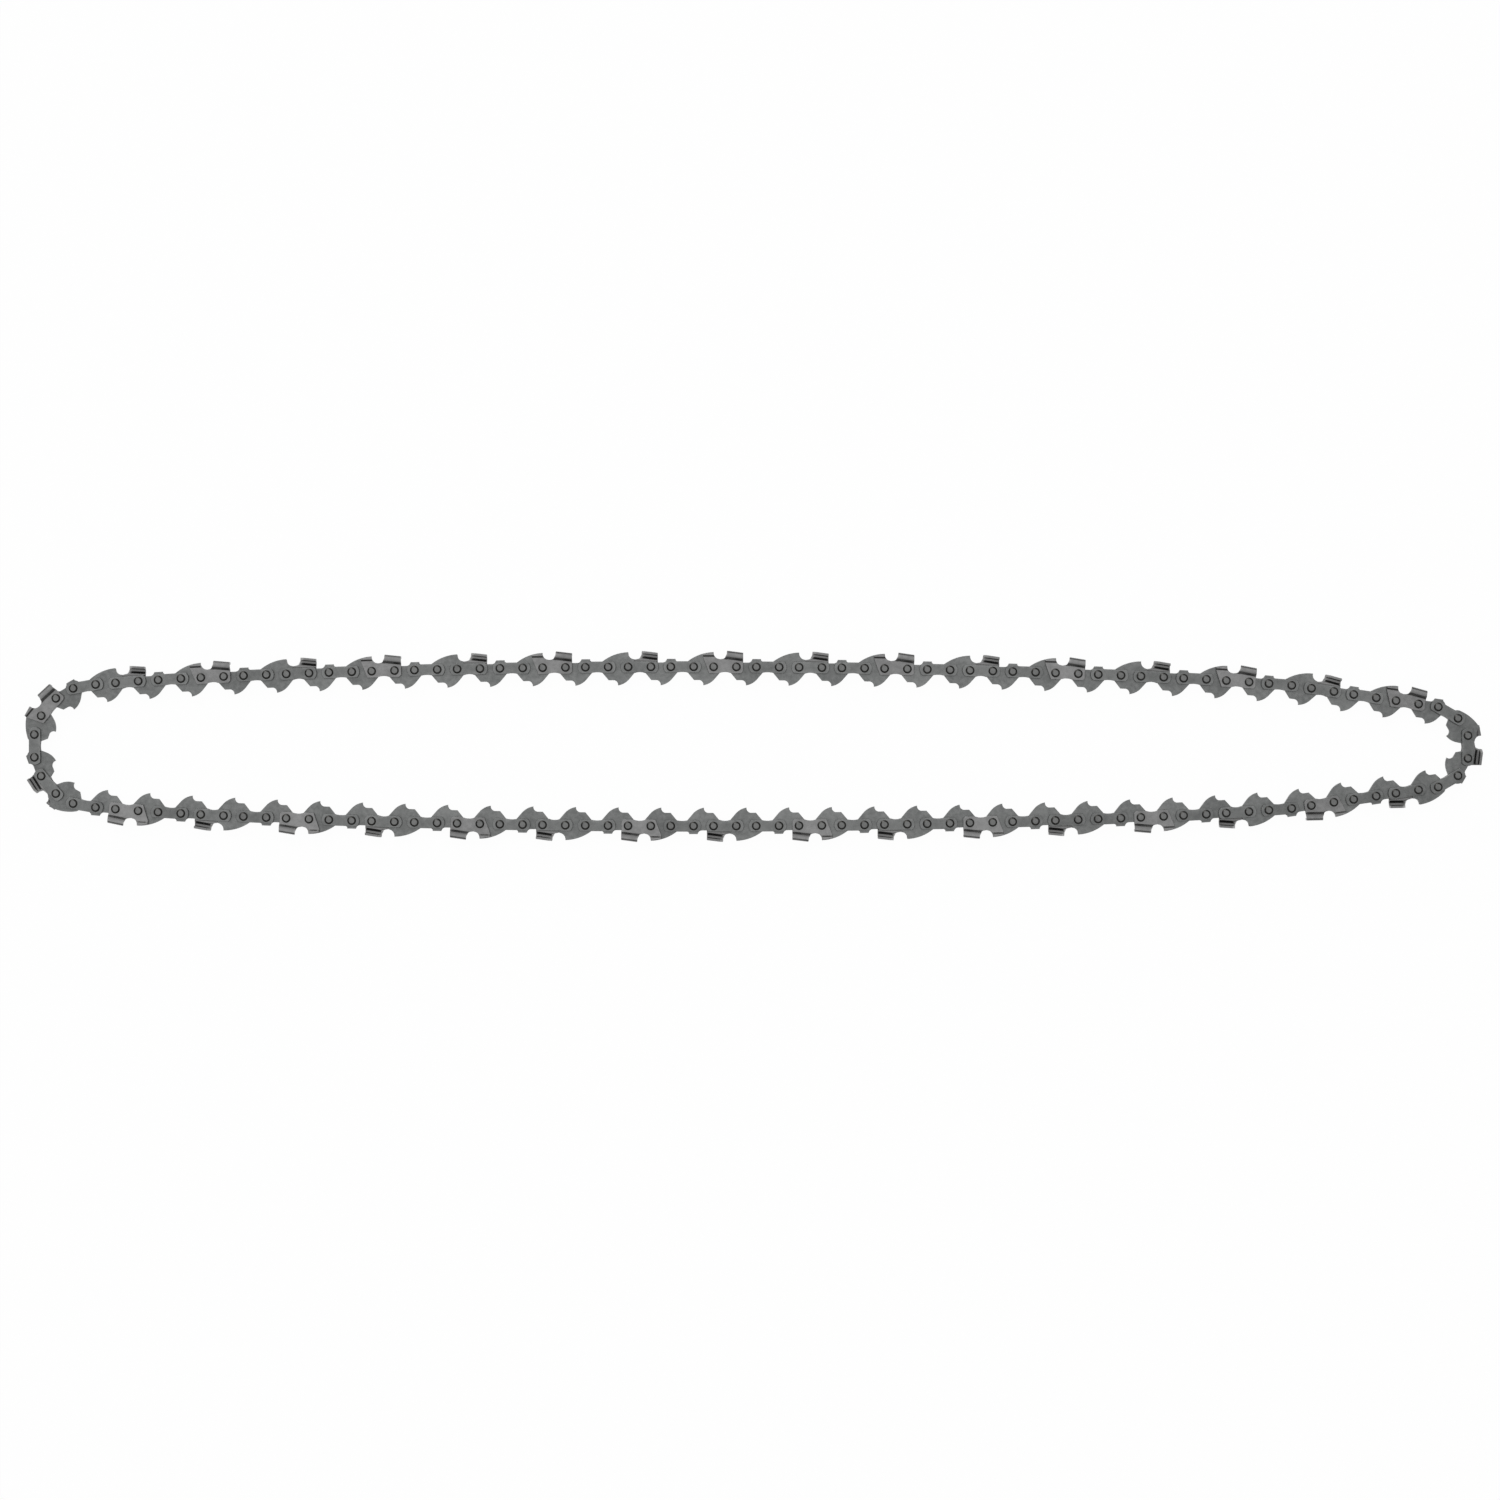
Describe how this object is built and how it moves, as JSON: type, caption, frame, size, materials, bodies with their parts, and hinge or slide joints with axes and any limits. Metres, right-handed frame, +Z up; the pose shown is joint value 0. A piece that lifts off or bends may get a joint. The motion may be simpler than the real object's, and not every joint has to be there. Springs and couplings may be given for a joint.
{
  "type": "chainsaw chain loop",
  "caption": "Closed saw chain loop of riveted drive links, tie straps and alternating left and right cutters with depth gauges, laid on its side in a long narrow oval.",
  "frame": {"origin": "middle of the loop's footprint, on the surface it lies on", "axes": "+X along the loop to its narrower end, +Y across the loop, +Z up across the chain's thickness"},
  "size_m": [0.6364, 0.0834, 0.006],
  "materials": {
    "drive_link_steel": "matt, slightly oiled steel",
    "strap_steel": "matt steel",
    "cutter_chrome": "dull chrome plating",
    "rivet_steel": "spun steel"
  },
  "bodies": {
    "left_end": {"left_end_bumper_drive_links": "drive_link_steel", "left_end_drive_links": "drive_link_steel", "left_end_left_cutters": "cutter_chrome", "left_end_right_cutters": "cutter_chrome", "left_end_tie_straps": "strap_steel", "left_end_rivets": "rivet_steel"},
    "top_run_1": {"top_run_1_bumper_drive_links": "drive_link_steel", "top_run_1_drive_links": "drive_link_steel", "top_run_1_left_cutters": "cutter_chrome", "top_run_1_right_cutters": "cutter_chrome", "top_run_1_tie_straps": "strap_steel", "top_run_1_rivets": "rivet_steel"},
    "top_run_2": {"top_run_2_bumper_drive_links": "drive_link_steel", "top_run_2_drive_links": "drive_link_steel", "top_run_2_left_cutters": "cutter_chrome", "top_run_2_right_cutters": "cutter_chrome", "top_run_2_tie_straps": "strap_steel", "top_run_2_rivets": "rivet_steel"},
    "top_run_3": {"top_run_3_bumper_drive_links": "drive_link_steel", "top_run_3_drive_links": "drive_link_steel", "top_run_3_left_cutters": "cutter_chrome", "top_run_3_right_cutters": "cutter_chrome", "top_run_3_tie_straps": "strap_steel", "top_run_3_rivets": "rivet_steel"},
    "top_run_4": {"top_run_4_bumper_drive_links": "drive_link_steel", "top_run_4_drive_links": "drive_link_steel", "top_run_4_left_cutters": "cutter_chrome", "top_run_4_right_cutters": "cutter_chrome", "top_run_4_tie_straps": "strap_steel", "top_run_4_rivets": "rivet_steel"},
    "right_end": {"right_end_bumper_drive_links": "drive_link_steel", "right_end_drive_links": "drive_link_steel", "right_end_left_cutters": "cutter_chrome", "right_end_right_cutters": "cutter_chrome", "right_end_tie_straps": "strap_steel", "right_end_rivets": "rivet_steel"},
    "bottom_run_1": {"bottom_run_1_bumper_drive_links": "drive_link_steel", "bottom_run_1_drive_links": "drive_link_steel", "bottom_run_1_left_cutters": "cutter_chrome", "bottom_run_1_right_cutters": "cutter_chrome", "bottom_run_1_tie_straps": "strap_steel", "bottom_run_1_rivets": "rivet_steel"},
    "bottom_run_2": {"bottom_run_2_bumper_drive_links": "drive_link_steel", "bottom_run_2_drive_links": "drive_link_steel", "bottom_run_2_left_cutters": "cutter_chrome", "bottom_run_2_right_cutters": "cutter_chrome", "bottom_run_2_tie_straps": "strap_steel", "bottom_run_2_rivets": "rivet_steel"},
    "bottom_run_3": {"bottom_run_3_bumper_drive_links": "drive_link_steel", "bottom_run_3_drive_links": "drive_link_steel", "bottom_run_3_left_cutters": "cutter_chrome", "bottom_run_3_right_cutters": "cutter_chrome", "bottom_run_3_tie_straps": "strap_steel", "bottom_run_3_rivets": "rivet_steel"},
    "bottom_run_4": {"bottom_run_4_bumper_drive_links": "drive_link_steel", "bottom_run_4_drive_links": "drive_link_steel", "bottom_run_4_left_cutters": "cutter_chrome", "bottom_run_4_right_cutters": "cutter_chrome", "bottom_run_4_tie_straps": "strap_steel", "bottom_run_4_rivets": "rivet_steel"}
  },
  "joints": [
    {"name": "top_run_1_pivot", "type": "hinge", "parent": "left_end", "child": "top_run_1", "pos_m": [-0.28727, 0.02684, 0.003], "axis": [0, 0, 1], "range_deg": [-8, 20]},
    {"name": "top_run_2_pivot", "type": "hinge", "parent": "top_run_1", "child": "top_run_2", "pos_m": [-0.15695, 0.03299, 0.003], "axis": [0, 0, 1], "range_deg": [-13.34, 5.34]},
    {"name": "top_run_3_pivot", "type": "hinge", "parent": "top_run_2", "child": "top_run_3", "pos_m": [-0.02649, 0.03473, 0.003], "axis": [0, 0, 1], "range_deg": [-13.34, 5.34]},
    {"name": "top_run_4_pivot", "type": "hinge", "parent": "top_run_3", "child": "top_run_4", "pos_m": [0.10398, 0.03299, 0.003], "axis": [0, 0, 1], "range_deg": [-13.34, 5.34]},
    {"name": "right_end_pivot", "type": "hinge", "parent": "top_run_4", "child": "right_end", "pos_m": [0.2343, 0.02684, 0.003], "axis": [0, 0, 1], "range_deg": [-8.01, 20.01]},
    {"name": "bottom_run_4_pivot", "type": "hinge", "parent": "left_end", "child": "bottom_run_4", "pos_m": [-0.28727, -0.02683, 0.003], "axis": [0, 0, 1], "range_deg": [-20.01, 8.01]},
    {"name": "bottom_run_3_pivot", "type": "hinge", "parent": "bottom_run_4", "child": "bottom_run_3", "pos_m": [-0.15695, -0.03298, 0.003], "axis": [0, 0, 1], "range_deg": [-5.34, 13.34]},
    {"name": "bottom_run_2_pivot", "type": "hinge", "parent": "bottom_run_3", "child": "bottom_run_2", "pos_m": [-0.02649, -0.03473, 0.003], "axis": [0, 0, 1], "range_deg": [-5.34, 13.34]},
    {"name": "bottom_run_1_pivot", "type": "hinge", "parent": "bottom_run_2", "child": "bottom_run_1", "pos_m": [0.10398, -0.03298, 0.003], "axis": [0, 0, 1], "range_deg": [-5.34, 13.34]}
  ],
  "couplings": [
    {"joint": "top_run_2_pivot", "follows": "top_run_1_pivot", "ratio": -0.66667},
    {"joint": "top_run_3_pivot", "follows": "top_run_1_pivot", "ratio": -0.66667},
    {"joint": "top_run_4_pivot", "follows": "top_run_1_pivot", "ratio": -0.66667},
    {"joint": "right_end_pivot", "follows": "top_run_1_pivot", "ratio": 1},
    {"joint": "bottom_run_4_pivot", "follows": "top_run_1_pivot", "ratio": -1},
    {"joint": "bottom_run_3_pivot", "follows": "top_run_1_pivot", "ratio": 0.66667},
    {"joint": "bottom_run_2_pivot", "follows": "top_run_1_pivot", "ratio": 0.66667},
    {"joint": "bottom_run_1_pivot", "follows": "top_run_1_pivot", "ratio": 0.66667}
  ]
}
